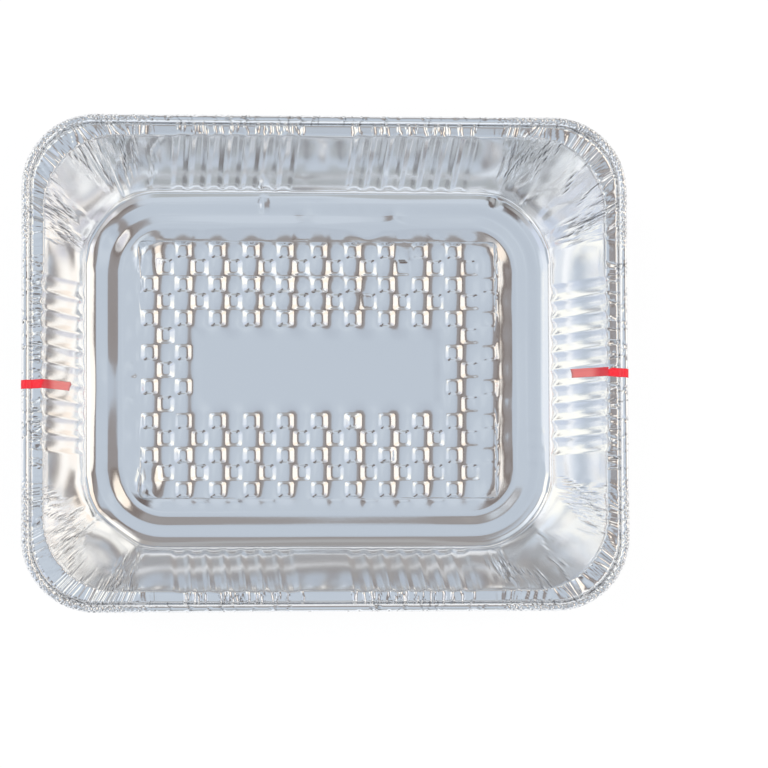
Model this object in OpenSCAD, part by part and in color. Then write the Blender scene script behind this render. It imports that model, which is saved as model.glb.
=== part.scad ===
// Rectangular foil roasting pan, pressed from one sheet of aluminium foil: a rolled curl and a flat
// flange round the top, fluted walls with pleated corners, a floor that steps down to a narrow
// channel, and a raised panel embossed with rows of square dimples.
// Two short strips of tape are stuck over the two short rims.
// The origin is at the middle of the floor, on the table; the long side runs along X and Z is up.

/* [Sheet] */
// Thickness of the foil
foil_t = 0.12; // [0.08:0.01:0.2]

/* [Rim] */
// Length of the pan over the curl
pan_l = 328; // [290:1:380]
// Width of the pan over the curl
pan_w = 268; // [240:1:320]
// Height of the pan from the table to the top of the curl
pan_h = 65; // [45:1:90]
// Corner radius of the outer edge of the curl
rim_r = 40; // [34:1:44]
// Diameter of the curl
curl_d = 4.5; // [3.5:0.1:6]
// Angle at which the free edge of the curl stops, below the level line to the outside
curl_end = 115; // [100:5:150]
// Width of the flange between the curl and the bend
flange_w = 6.9; // [5:0.1:10]
// Depth of the flange below the top of the curl
flange_drop = 2; // [1.6:0.1:2.2]

/* [Walls] */
// Width and depth of the bend between the flange and the wall
bend_w = 2.2; // [1.5:0.1:3]
// How far each wall leans in from the bend to its foot
wall_run = 20; // [14:1:24]
// Corner radius at the top of the wall
wall_r = 38; // [34:1:42]
// Corner radius at the foot of the wall
foot_r = 42; // [36:1:46]
// Height of the foot of the wall
foot_h = 4.2; // [3.2:0.1:12]

/* [Flutes] */
// Width of the ridge between two flutes
ridge_w = 1; // [0.6:0.1:2]
// Width of the sloping side of a flute
flute_side = 2.6; // [1:0.1:2.8]
// Depth of a flute, pressed outwards
flute_depth = 1; // [0.4:0.1:1.6]
// Distance between flutes on the long walls
long_pitch = 9.7; // [8.5:0.1:12]
// Distance between flutes on the short walls
short_pitch = 9.5; // [8.5:0.1:12]
// Plain stretch in the middle of each long wall
plain_gap = 29.5; // [20:0.5:60]
// Least plain stretch between the last flute and the corner
flute_margin = 4; // [1:0.5:10]
// Height over which the flutes run out above the foot
flute_toe = 2.5; // [1:0.5:6]

/* [Crimps] */
// Pleats round each corner
pleats = 10; // [6:1:12]
// Depth of a pleat in the corner of the wall
pleat_depth = 0.7; // [0.2:0.1:1.2]
// Depth of the crimps in the flange
crimp_depth = 0.4; // [0.1:0.05:0.7]

/* [Floor] */
// Width of the outer slope, from the foot of the wall to the level ring
outer_slope_w = 7; // [5:0.5:9]
// Width of the level ring
ring_w = 6.2; // [4:0.2:9]
// Height of the level ring above the channel
ring_h = 1.8; // [1:0.1:2.8]
// Width of the inner slope, from the level ring to the channel
inner_slope_w = 7; // [5:0.5:9]
// Width of the channel that the pan stands on
channel_w = 2.4; // [1.5:0.1:4]
// Corner radius of the outer edge of the channel
channel_r = 26; // [20:1:30]

/* [Embossing] */
// Length of one cell of the embossing
cell_l = 9.4; // [8:0.1:12]
// Width of one cell of the embossing
cell_w = 9.5; // [8:0.1:12]
// Width of the sloping side of a dimple
dimple_flank = 2.1; // [1:0.1:3]
// Height of a raised dimple, and depth of a sunken one
dimple_h = 1.2; // [0.5:0.1:1.5]
// Height of the embossed panel above the channel
panel_h = 1.8; // [1.6:0.1:3]
// Least width of the sloping border round the embossed panel
border_w = 7; // [5:0.5:12]
// Length of the plain field in the middle
plain_l = 137; // [60:1:180]
// Width of the plain field in the middle
plain_w = 43; // [20:1:80]

/* [Tape] */
// Width of a tape strip
tape_w = 4.8; // [3:0.1:8]
// Thickness of a tape strip
tape_t = 0.08; // [0.05:0.01:0.2]
// Clearance between the tape and the foil
tape_gap = 0.05; // [0.02:0.01:0.1]
// How far the left strip reaches down the wall
left_reach = 34; // [10:1:40]
// How far the right strip reaches down the wall
right_reach = 32; // [10:1:40]
// Distance of the left strip from the middle of the rim
left_shift = -12; // [-40:0.5:40]
// Distance of the right strip from the middle of the rim
right_shift = -5.5; // [-40:0.5:40]

/* [Hidden] */

foil_colour = [0.78, 0.8, 0.83];
tape_colour = [0.86, 0.16, 0.2];

// Steps in a quarter turn of the floor and of the curl
floor_steps = 8;
curl_steps = 16;
pleat_steps = 2 * pleats;
// Clear width kept between the corner of the embossed panel and the channel
corner_clear = 1.5;
// How much of a corner pleat is left at its toe and at the outer edge of the flange
pleat_toe = 0.3;
pleat_tip = 0.5;
// Stretch of flange next to the curl that the tape spans
tape_span = 1.5;

half_l = pan_l / 2;
half_w = pan_w / 2;

// The section runs from the floor outwards. Each point is a place out from the outer edge of the
// curl, which is negative inside it, and a height of the upper face of the foil.
curl_mid = [-curl_d / 2, pan_h - curl_d / 2];
flange_z = pan_h - flange_drop;
flange_out = -curl_d;
flange_in = flange_out - flange_w;
wall_top = [flange_in - bend_w, flange_z - bend_w];
wall_foot = [wall_top[0] - wall_run, foot_h + foil_t];
wall_slope = (wall_top[0] - wall_foot[0]) / (wall_top[1] - wall_foot[1]);
toe = [wall_foot[0] + flute_toe * wall_slope, wall_foot[1] + flute_toe];
toe_r = foot_r + (wall_r - foot_r) * flute_toe / (wall_top[1] - wall_foot[1]);
ring_out = wall_foot[0] - outer_slope_w;
ring_in = ring_out - ring_w;
channel_out = ring_in - inner_slope_w;
channel_in = channel_out - channel_w;

// The embossed panel holds an odd number of whole cells each way
room_l = half_l + channel_in - border_w;
room_w = half_w + channel_in - border_w;
cols = 2 * floor(room_l / cell_l - 0.5) + 1;
rows = 2 * floor(room_w / cell_w - 0.5) + 1;
panel_z = panel_h + foil_t;
border_l = half_l + channel_in - cols * cell_l / 2;
border_b = half_w + channel_in - rows * cell_w / 2;

// The largest radius of the channel's inner edge that the corner of the panel leaves room for
reach = border_l + border_b - corner_clear;
spread = reach * reach - border_l * border_l - border_b * border_b + corner_clear * corner_clear;
channel_in_r = min(channel_r - channel_w, reach + sqrt(max(spread, 0)));
channel_out_r = channel_in_r + channel_w;

// Flutes fit on the straight part of each wall, the same number on each side of its middle
straight_l = half_l + min(wall_foot[0] - foot_r, wall_top[0] - wall_r);
straight_w = half_w + min(wall_foot[0] - foot_r, wall_top[0] - wall_r);
long_flutes = floor((straight_l - plain_gap / 2 - flute_margin) / long_pitch);
short_flutes = floor((straight_w - flute_margin) / short_pitch);

// A flute's mouth, bottom and mouth again, as [place, depth]
function flute_shape(pitch) = let (mouth = (pitch - ridge_w) / 2, bottom = mouth - flute_side)
    [[-mouth, 0], [-bottom, 1], [bottom, 1], [mouth, 0]];

// Middles of the flutes along one wall, n on each side of a gap
function flute_places(n, pitch, gap) =
    [for (k = [-n:n - 1]) (k + 0.5) * pitch + (k < 0 ? -gap / 2 : gap / 2)];

// Stations round the pan, each as [leg, place, flute, pleat]. The even legs 0 to 6 are the straight
// sides in turn, with the place in mm from their middle; the odd ones are the corners after them,
// with the place in degrees. Each quarter begins at the end of the corner before it.
function plain_stations(steps) = [
    for (q = [0:3], i = [0:steps])
        i == 0 ? [2 * q - 1, 90, 0, 0] : [2 * q + 1, 90 * (i - 1) / steps, 0, 0]
];
function wall_stations() = [
    for (q = [0:3]) each concat(
        [[2 * q - 1, 90, 0, 0]],
        [for (s = q % 2 == 0 ? flute_places(short_flutes, short_pitch, 0)
                             : flute_places(long_flutes, long_pitch, plain_gap),
              f = flute_shape(q % 2 == 0 ? short_pitch : long_pitch))
            [2 * q, s + f[0], f[1], 0]],
        [for (i = [0:pleat_steps - 1]) [2 * q + 1, 90 * i / pleat_steps, 0, i % 2]]
    )
];

// The loops of the section from the channel out to the free edge of the curl, each as
// [place out, height, corner radius, stations, flute depth, pleat depth, dip of the flange]
FLOOR = plain_stations(floor_steps);
WALL = wall_stations();
CURL = plain_stations(curl_steps);
curl_angles = [135, 90, 45, 0, -45, -90, -curl_end];
loops = concat([
    [channel_in, foil_t, channel_in_r, FLOOR, 0, 0, 0],
    [channel_out, foil_t, channel_out_r, FLOOR, 0, 0, 0],
    [ring_in, ring_h + foil_t, channel_out_r + inner_slope_w, FLOOR, 0, 0, 0],
    [ring_out, ring_h + foil_t, channel_out_r + inner_slope_w + ring_w, FLOOR, 0, 0, 0],
    [wall_foot[0], wall_foot[1], foot_r, WALL, 0, 0, 0],
    [toe[0], toe[1], toe_r, WALL, flute_depth, pleat_toe * pleat_depth, 0],
    [wall_top[0], wall_top[1], wall_r, WALL, flute_depth, pleat_depth, 0],
    [flange_in, flange_z, wall_r + bend_w, WALL, 0, 0, crimp_depth],
    [flange_out, flange_z, rim_r - curl_d, WALL, 0, 0, pleat_tip * crimp_depth]
], [
    for (a = curl_angles) let (u = curl_mid[0] + curl_d / 2 * cos(a))
        [u, curl_mid[1] + curl_d / 2 * sin(a), rim_r + u, CURL, 0, 0, 0]
]);

// Offset of a path to its left by d, with mitred corners
function left_of(v) = [-v[1], v[0]] / norm(v);
function mitred(path, i, d) =
    let (before = i > 0 ? left_of(path[i] - path[i - 1]) : left_of(path[1] - path[0]),
         after = i < len(path) - 1 ? left_of(path[i + 1] - path[i]) : before,
         middle = (before + after) / norm(before + after))
    path[i] + d * middle / (middle * before);
function beside(path, d) = [for (i = [0:len(path) - 1]) mitred(path, i, d)];

// The section of the upper face, led by the edge of the panel, and of the lower face
upper = concat([[-border_l + channel_in, panel_z]], [for (l = loops) [l[0], l[1]]]);
lower = beside(upper, -foil_t);

// One point of a loop: on the straight sides it lies out from the side, on a corner out from the
// corner's centre
function station_point(st, out, r, z) =
    abs(st[0] % 2) == 1
        ? let (turn = 90 * (st[0] - 1) / 2, a = turn + st[1])
          [sign(cos(turn + 45)) * (half_l + out - r) + r * cos(a),
           sign(sin(turn + 45)) * (half_w + out - r) + r * sin(a), z]
        : let (a = 45 * st[0], h = out + (st[0] % 4 == 0 ? half_l : half_w))
          [h * cos(a) - st[1] * sin(a), h * sin(a) + st[1] * cos(a), z];
function loop_points(i, section) = let (l = loops[i], p = section[i + 1], grow = p[0] - l[0]) [
    for (st = l[3]) let (push = st[2] * l[4] + st[3] * l[5],
                         dip = st[2] * (i == len(loops) - len(curl_angles) - 1 ? 0 : l[6])
                             + st[3] * l[6])
        abs(st[0] % 2) == 1
            ? let (turn = 90 * (st[0] - 1) / 2, a = turn + st[1])
              station_point(st, p[0], l[2] + grow, p[1] - dip) + push * [cos(a), sin(a), 0]
            : station_point(st, p[0] + push, l[2] + grow, p[1] - dip)
];

// How far round the pan a station lies: one unit for each leg, for stitching loops together
function loop_turns(i) = let (l = loops[i]) [
    for (st = l[3]) abs(st[0] % 2) == 1
        ? st[0] + st[1] / 90
        : let (straight = (st[0] % 4 == 0 ? half_w : half_l) + l[0] - l[2])
          st[0] + (st[1] + straight) / (2 * straight)
];

// The nodes of the panel's grid, and its outer edge in the same turning order
grid_points = [
    for (i = [0:cols], j = [0:rows]) [(i - cols / 2) * cell_l, (j - rows / 2) * cell_w, panel_z]
];
function grid_index(i, j) = i * (rows + 1) + j;
edge_index = concat(
    [for (j = [0:rows - 1]) grid_index(cols, j)], [for (i = [cols:-1:1]) grid_index(i, rows)],
    [for (j = [rows:-1:1]) grid_index(0, j)], [for (i = [0:cols - 1]) grid_index(i, 0)]
);
arc_l = half_l + channel_in - channel_in_r;
arc_w = half_w + channel_in - channel_in_r;
function edge_turn(side, along, out, arc_along, arc_out) =
    along > arc_along ? side + 1 + atan2(along - arc_along, out - arc_out) / 90
    : along < -arc_along ? side + atan2(along + arc_along, out - arc_out) / 90
    : side + (along + arc_along) / (2 * arc_along);
function edge_side(n) = n < rows ? 0 : n < rows + cols ? 2 : n < 2 * rows + cols ? 4 : 6;
edge_turns = [
    for (n = [0:len(edge_index) - 1])
        let (p = grid_points[edge_index[n]], side = edge_side(n), a = 45 * side)
        edge_turn(side, p[1] * cos(a) - p[0] * sin(a), p[0] * cos(a) + p[1] * sin(a),
                  side % 4 == 0 ? arc_w : arc_l, side % 4 == 0 ? arc_l : arc_w)
];

// Dimples: raised where column and row are both even, sunken where both are odd
function in_plain_field(i, j) =
    abs(i + 0.5 - cols / 2) * cell_l < plain_l / 2 && abs(j + 0.5 - rows / 2) * cell_w < plain_w / 2;
cells = [for (i = [0:cols - 1], j = [0:rows - 1]) [i, j]];
dimples = [for (c = cells) if (c[0] % 2 == c[1] % 2 && !in_plain_field(c[0], c[1])) c];
flats = [for (c = cells) if (c[0] % 2 != c[1] % 2 || in_plain_field(c[0], c[1])) c];
function corners(i, j) =
    [grid_index(i, j), grid_index(i, j + 1), grid_index(i + 1, j + 1), grid_index(i + 1, j)];
dimple_points = [
    for (c = dimples, k = corners(c[0], c[1]))
        let (p = grid_points[k],
             mid = [(c[0] + 0.5 - cols / 2) * cell_l, (c[1] + 0.5 - rows / 2) * cell_w])
        [p[0] - sign(p[0] - mid[0]) * dimple_flank, p[1] - sign(p[1] - mid[1]) * dimple_flank,
         panel_z + (c[0] % 2 == 0 ? dimple_h : -dimple_h)]
];

// All points of one face of the sheet, and where each loop starts among them
panel_points = concat(grid_points, dimple_points);
counts = [for (l = loops) len(l[3])];
function starts(n) = n == 0 ? len(panel_points) : starts(n - 1) + counts[n - 1];
face_size = starts(len(loops));
function face_points(section, drop) = concat(
    [for (p = panel_points) p - [0, 0, drop]],
    [for (i = [0:len(loops) - 1]) each loop_points(i, section)]
);

// Triangles between an inner row of points and an outer one. Each stretch of a row meets the point
// of the other row that lies beside its middle.
function middles(turns) = [
    for (i = [0:len(turns) - 1])
        (turns[i] + (i + 1 < len(turns) ? turns[i + 1] : turns[0] + 8)) / 2
];
function below(list, value) = len([for (v = list) if (v < value) 1]);
function upto(list, value) = len([for (v = list) if (v <= value) 1]);
function stitch(a, ta, b, tb) = let (ma = middles(ta), mb = middles(tb), na = len(a), nb = len(b))
    concat(
        [for (i = [0:na - 1]) [a[i], a[(i + 1) % na], b[below(mb, ma[i]) % nb]]],
        [for (j = [0:nb - 1]) [a[upto(ma, mb[j]) % na], b[(j + 1) % nb], b[j]]]
    );
function ladder(a, b) = let (n = len(a)) [
    for (i = [0:n - 1]) each [[a[i], a[(i + 1) % n], b[(i + 1) % n]], [a[i], b[(i + 1) % n], b[i]]]
];
function loop_index(i) = [for (k = [0:counts[i] - 1]) starts(i) + k];
function strip(i) = counts[i] == counts[i + 1]
    ? ladder(loop_index(i), loop_index(i + 1))
    : stitch(loop_index(i), loop_turns(i), loop_index(i + 1), loop_turns(i + 1));

dimple_start = len(grid_points);
panel_triangles = concat(
    [for (c = flats) let (k = corners(c[0], c[1])) each [[k[0], k[1], k[2]], [k[0], k[2], k[3]]]],
    [for (n = [0:len(dimples) - 1])
        let (k = corners(dimples[n][0], dimples[n][1]), t = dimple_start + 4 * n)
        each concat(ladder(k, [t, t + 1, t + 2, t + 3]), [[t, t + 1, t + 2], [t, t + 2, t + 3]])]
);
face_triangles = concat(
    panel_triangles,
    stitch(edge_index, edge_turns, loop_index(0), loop_turns(0)),
    [for (i = [0:len(loops) - 2]) each strip(i)]
);

// The sheet: the upper face, the lower face turned over, and the free edge of the curl
module pan() {
    last = loop_index(len(loops) - 1);
    color(foil_colour) polyhedron(
        points = concat(face_points(upper, 0), face_points(lower, foil_t)),
        faces = concat(
            face_triangles,
            [for (f = face_triangles) [f[2] + face_size, f[1] + face_size, f[0] + face_size]],
            ladder(last, [for (k = last) k + face_size])
        ),
        convexity = 10
    );
}

// A strip of tape that runs up the wall, over the flange and round the curl to its underside
module tape(reach_down, shift) {
    path = concat(
        [wall_top - reach_down * [wall_slope, 1], wall_top, [flange_in, flange_z],
         [flange_out - tape_span, flange_z]],
        [for (a = [135:-45:-45]) curl_mid + curl_d / 2 * [cos(a), sin(a)]]
    );
    far = beside(path, tape_gap + tape_t);
    color(tape_colour) translate([half_l, shift, 0]) rotate([90, 0, 0])
        linear_extrude(tape_w, center = true)
            polygon(concat(beside(path, tape_gap), [for (i = [len(far) - 1:-1:0]) far[i]]));
}

module red_tape_left() {
    mirror([1, 0, 0]) tape(left_reach, left_shift);
}

module red_tape_right() {
    tape(right_reach, right_shift);
}

pan();
red_tape_left();
red_tape_right();
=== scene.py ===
# A foil roasting pan seen from above: dented, crimped and pleated foil with two strips of red tape.
# Lengths are in millimetres until a mesh is made; X runs along the pan, Y across it and Z up.
import math
import bpy
import numpy as np
from mathutils import Matrix, Vector


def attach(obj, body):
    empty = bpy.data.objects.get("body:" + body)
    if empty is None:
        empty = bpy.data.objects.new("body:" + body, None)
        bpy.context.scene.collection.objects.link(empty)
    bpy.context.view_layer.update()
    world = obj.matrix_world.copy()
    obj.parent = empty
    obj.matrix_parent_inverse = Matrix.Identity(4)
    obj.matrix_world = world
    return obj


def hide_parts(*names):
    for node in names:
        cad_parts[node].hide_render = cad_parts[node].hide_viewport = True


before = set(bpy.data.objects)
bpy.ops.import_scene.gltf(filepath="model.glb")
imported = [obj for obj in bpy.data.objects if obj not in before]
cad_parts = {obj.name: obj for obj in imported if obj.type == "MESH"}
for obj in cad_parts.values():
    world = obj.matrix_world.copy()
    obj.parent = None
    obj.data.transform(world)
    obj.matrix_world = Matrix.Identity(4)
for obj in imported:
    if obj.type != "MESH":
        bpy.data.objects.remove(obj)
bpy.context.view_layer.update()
mm = 0.001
dice = np.random.default_rng(11)


# Camera

view = {
    "place": (-147.8, -122.8, 2000),    # above the table, a little towards the lower left corner
    "aim": (30.8, -11.4, 62.8),         # the point that the middle of the picture shows
    "roll": 0.004,
    "lens": 169.4,
}


def addCamera(setting):
    place, aim = Vector(setting["place"]) * mm, Vector(setting["aim"]) * mm
    forward = (aim - place).normalized()
    right = forward.cross(Vector((math.sin(setting["roll"]), math.cos(setting["roll"]), 0))).normalized()
    up = right.cross(forward)
    data = bpy.data.cameras.new("camera")
    data.lens = setting["lens"]
    camera = bpy.data.objects.new("camera", data)
    bpy.context.collection.objects.link(camera)
    camera.matrix_world = Matrix.Translation(place) @ Matrix((right, up, -forward)).transposed().to_4x4()
    bpy.context.scene.camera = camera


addCamera(view)
bpy.context.scene.view_settings.view_transform = "Standard"
print("stage: camera placed")


# Meshes

# Puts points, an (n, 3) array in mm, and quads, an (m, 4) array of their numbers, into a smooth mesh.
# Each point's painted shade, from 0 to 1, says how deep it lies in sharp folds, and goes into an attribute.
def makePiece(name, points, quads, material, foldShade=None):
    mesh = bpy.data.meshes.new(name)
    mesh.from_pydata((points * mm).tolist(), [], quads.tolist())
    mesh.polygons.foreach_set("use_smooth", np.ones(len(mesh.polygons), dtype=bool))
    mesh.materials.append(material)
    if foldShade is not None:
        mesh.attributes.new("foldShade", "FLOAT", "POINT").data.foreach_set("value", np.ravel(foldShade))
    mesh.update()
    piece = bpy.data.objects.new(name, mesh)
    bpy.context.collection.objects.link(piece)
    return piece


# Quads between neighbours of a table of point numbers. Rows run outwards and columns turn to the left
# seen from above, so that the faces point up and inwards.
def quadsOf(numbers, closed):
    here = numbers
    beside = np.roll(numbers, -1, axis=1) if closed else numbers[:, 1:]
    here = here if closed else here[:, :-1]
    return np.stack([here[:-1], here[1:], beside[1:], beside[:-1]], axis=-1).reshape(-1, 4)


# Points and quads of a grid of places, given as (rows, stations).
def gridMesh(x, y, z, closed):
    points = np.stack([x, y, z], axis=-1).reshape(-1, 3)
    return points, quadsOf(np.arange(len(points)).reshape(x.shape), closed)


# Smooth step from 0 to 1: 3x^2 - 2x^3
def smooth(x):
    x = np.clip(x, 0, 1)
    return x * x * (3 - 2 * x)


# Points of a section with each inner corner cut by a short curve: the corner P becomes P + r a,
# P + r (a + b) / 4 and P + r b, where a and b point to its neighbours and r is the reach.
def rounded(section, reach):
    section = np.array(section, dtype=float)
    rows = [section[0]]
    for before, corner, after in zip(section[:-2], section[1:-1], section[2:]):
        a, b = before - corner, after - corner
        a, b = a / np.linalg.norm(a[:3]), b / np.linalg.norm(b[:3])
        rows += [corner + reach * a, corner + reach * (a + b) / 4, corner + reach * b]
    return np.array(rows + [section[-1]])


# Splits the stretches of a section that are longer than the step into equal parts.
def divided(section, step):
    rows = [section[0]]
    for start, end in zip(section[:-1], section[1:]):
        parts = max(1, int(np.ceil(np.linalg.norm((end - start)[:3]) / step)))
        rows += [start + (end - start) * (k + 1) / parts for k in range(parts)]
    return np.array(rows)


# Points of rounded rectangles. Each row of the section gives half the length, half the width, the
# height and the corner radius r. Each station is (leg, place): on an even leg, a straight side, the
# place is the distance s from its middle; on an odd leg, the corner after it, the place is the share
# of the path straight - quarter circle - straight that starts and ends at the distance keep from
# the middles of the sides. Returns x, y and the outward direction, each as (rows, stations).
def roundLoops(section, leg, place, keep):
    halfX, halfY, radius = section[:, 0:1], section[:, 1:2], section[:, 3:4]
    quarter = leg // 2
    even = quarter % 2 == 0
    ahead, aside = np.where(even, halfX, halfY), np.where(even, halfY, halfX)
    keepHere, keepNext = np.where(even, keep[1], keep[0]), np.where(even, keep[0], keep[1])
    first, arc = aside - radius - keepHere, radius * math.pi / 2
    last = ahead - radius - keepNext
    along = place * (first + arc + last)
    turn = np.clip((along - first) / radius, 0, math.pi / 2)
    cornerX = ahead - radius + radius * np.cos(turn) - np.clip(along - first - arc, 0, None)
    cornerY = aside - radius + radius * np.sin(turn) - np.clip(first - along, 0, None)
    corner = leg % 2 == 1
    localX = np.where(corner, cornerX, ahead)
    localY = np.where(corner, cornerY, place + 0 * ahead)
    angle = quarter * math.pi / 2
    facing = angle + np.where(corner, turn, 0)
    x = localX * np.cos(angle) - localY * np.sin(angle)
    y = localX * np.sin(angle) + localY * np.cos(angle)
    return x, y, np.cos(facing), np.sin(facing)


# A smooth random line: random values at whole places, joined by smooth steps. Returns it at x.
def wander(x, count, strength=1.0, closed=False):
    values = dice.uniform(-1, 1, count + 2) * strength
    if closed:
        values[count:] = values[:2]
    x = np.clip(x, 0, count)
    whole = np.minimum(x.astype(int), count)
    return values[whole] + (values[np.minimum(whole + 1, count + 1)] - values[whole]) * smooth(x - whole)


# Materials

foilLook = {
    # the second colour is painted shade: the dark colour the foil takes at the bottoms of sharp folds
    "colour": (0.93, 0.94, 0.955, 1), "foldShadeColour": (0.13, 0.13, 0.14, 1),
    "roughness": (0.12, 0.14), "drawnFrom": (0.006, 0.018),   # floor and walls; heights of the change, m
    "lineScale": (20, 2600, 20), "lineBump": 0.05, "lineDepth": 0.0002,
    "grainScale": 420, "grainBump": 0.02, "grainDepth": 0.0005,
}
tapeLook = {
    # the paler wall colour is painted light: the foil's bright reflection seen through the film
    "rimColour": (0.68, 0.012, 0.024, 1), "wallShineColour": (0.86, 0.19, 0.175, 1), "roughness": 0.25,
    "rimX": 0.150, "wallX": 0.1455,           # deep red beyond the first and pale within the second, in m
}


def newMaterial(name):
    material = bpy.data.materials.new(name)
    material.use_nodes = True
    return material, material.node_tree.nodes


# Gives inputs of a node, by name or number, their values. An output of another node is linked.
def feed(node, inputs):
    for name, value in inputs.items():
        if isinstance(value, bpy.types.NodeSocket):
            node.id_data.links.new(value, node.inputs[name])
        else:
            node.inputs[name].default_value = value


# Adds a shader node of this kind with its options, feeds its inputs and returns its outputs.
def addNode(nodes, kind, inputs=None, **options):
    node = nodes.new("ShaderNode" + kind)
    for name, value in options.items():
        setattr(node, name, value)
    feed(node, inputs or {})
    return node.outputs


# Smooth change from one number to another, where a value runs from low to high.
def addStep(nodes, value, low, high, start=0.0, end=1.0):
    numbers = {"Value": value, "From Min": low, "From Max": high, "To Min": start, "To Max": end}
    return addNode(nodes, "MapRange", numbers, interpolation_type="SMOOTHSTEP")["Result"]


# Mix of two colours: the first where the share is 0 and the second where it is 1.
def blend(nodes, share, first, second):
    return addNode(nodes, "Mix", {"Factor": share, "A": first, "B": second}, data_type="RGBA")["Result"]


# Bright foil: a mirror-like metal with the fine lines of rolling along X and a faint grain in its
# bump. The walls, where the sheet was drawn, are a little duller than the floor. Painted shade: the
# base colour turns dark at the bottoms of sharp folds, where little light would find its way out.
def foilMaterial(look):
    material, nodes = newMaterial("rolledFoil")
    place = addNode(nodes, "TexCoord")["Object"]
    height = addNode(nodes, "SeparateXYZ", {"Vector": place})["Z"]
    # painted shade of sharp folds, from 0 to 1, read from the mesh's attribute
    foldShade = addNode(nodes, "Attribute", attribute_name="foldShade")["Fac"]
    stretched = addNode(nodes, "Mapping", {"Vector": place, "Scale": look["lineScale"]})["Vector"]
    lines = addNode(nodes, "TexNoise", {"Vector": stretched, "Scale": 1, "Detail": 3})["Fac"]
    grain = addNode(nodes, "TexNoise", {"Vector": place, "Scale": look["grainScale"]})["Fac"]
    lined = addNode(nodes, "Bump", {
        "Height": lines, "Strength": look["lineBump"], "Distance": look["lineDepth"]})["Normal"]
    grained = addNode(nodes, "Bump", {
        "Height": grain, "Strength": look["grainBump"], "Distance": look["grainDepth"],
        "Normal": lined})["Normal"]
    feed(nodes["Principled BSDF"], {
        # painted shade: the base colour darkens towards the shade colour by the attribute
        "Base Color": blend(nodes, foldShade, look["colour"], look["foldShadeColour"]), "Metallic": 1,
        "Roughness": addStep(nodes, height, *look["drawnFrom"], *look["roughness"]), "Normal": grained})
    return material


# Red film: deep red over the rim, and paler down the wall: painted light for the bright foil shining
# through it.
def tapeMaterial(look):
    material, nodes = newMaterial("redFilm")
    place = addNode(nodes, "TexCoord")["Object"]
    side = addNode(nodes, "SeparateXYZ", {"Vector": place})["X"]
    fromMiddle = addNode(nodes, "Math", {0: side}, operation="ABSOLUTE")[0]
    share = addStep(nodes, fromMiddle, look["wallX"], look["rimX"])
    feed(nodes["Principled BSDF"], {
        # painted light: towards the wall the red turns to the pale colour of the foil shining through
        "Base Color": blend(nodes, share, look["wallShineColour"], look["rimColour"]),
        "Roughness": look["roughness"]})
    return material


foil = foilMaterial(foilLook)
redFilm = tapeMaterial(tapeLook)
print("stage: materials made")


# The sheet

sheet = {
    "length": 328.0, "width": 268.0, "height": 65.0, "foil": 0.12,
    "foot": (130.0, 99.5, 4.32, 42.0),        # half length, half width, height and corner radius
    "wallTop": (150.4, 121.2, 60.9, 38.0),
    "flangeIn": (152.0, 122.6, 63.9, 39.5),
    "flangeOut": (158.8, 128.9, 63.2, 35.0),
    "slopeKnee": (126.5, 95.8, 2.53, 40.0),   # the slope up to the foot grows steeper here
    "ringOut": (123.3, 92.4, 1.55, 38.0),
    "ringIn": (117.1, 86.3, 1.55, 32.0),
    "channelOut": (110.9, 81.2, 0.12, 26.5),
    "channelIn": (108.6, 78.9, 0.12, 24.5),
    "borderTop": (101.4, 71.9, 1.55, 6.0),    # outer edge of the panel, where its border starts to fall
    # how far the height of the ring wanders as a share, at how many places, and how it fades inwards
    # and outwards
    "stepWander": 0.24, "stepPlaces": 14, "stepFade": (2, 5),
    "keep": (88.0, 57.5),                     # half the straight stretch of the long and the short walls
    "curlRadius": 2.25, "rimRadius": 40.0,
    # turning points of the flattened curl, in degrees from straight out, and how far each edge is rounded
    "curlTurns": (135, 116, 98, 74, 50, 24, -10, -60, -115), "curlEdge": 0.14,
    # rows of the curl that get a line of painted shade, and how dark it is
    "curlShadeLines": ((3, 0.35), (9, 0.3), (15, 0.25)),   # rows of the curl with a dark line, and how dark
    "footReach": 1.4, "bendReach": 0.7,       # rounding of the foot of the wall, and of the other bends
    "floorEnd": (0.8, 0.04),                  # the floor ends so far before the foot, and so much lower
    "wallStart": 1.6,                         # the wall starts this far before the foot
    # share of the wall's height over which its waves and creases start at the foot, and where the waves
    # end and over what share
    "wallToe": 0.08, "wallFade": (1.1, 0.2),
    "ringStep": 2.0, "flangeStep": 2.4,       # longest step between rows, floor's rings and flange
    "flangeFade": (0.8, 1.5),                 # crimps end this far outside the flange, fading over
    "floorWaves": (16, 10),                   # slow waves end this far outside the channel, fading over
    "cornerPath": 135.0,                      # rough length of a corner between the straight stretches
    "cornerEnds": 0.14,                       # share of it over which its folds fade at each end
    # corner by corner, from +X +Y to the left: two kinks of the foot in degrees, and its flatness between
    "kinks": ((13.6, 74.6, 0.9), (33, 74, 0.9), (33, 73.2, 2.2), (8.6, 79.7, 0.9)),
}


# Flattened corners of the foot. Between a corner's two kinks the foot lies further in, by
# depth * sin(pi * share), where the share runs from 0 to 1 with the direction the foot faces.
def cornerFlat(facing, kinks):
    degrees = np.degrees(facing) % 360
    push = np.zeros(degrees.shape)
    for quarter, (first, last, depth) in enumerate(kinks):
        share = np.clip((degrees - 90 * quarter - first) / (last - first), 0, 1)
        push -= depth * np.sin(math.pi * share)
    return push


# The embossed floor

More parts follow.
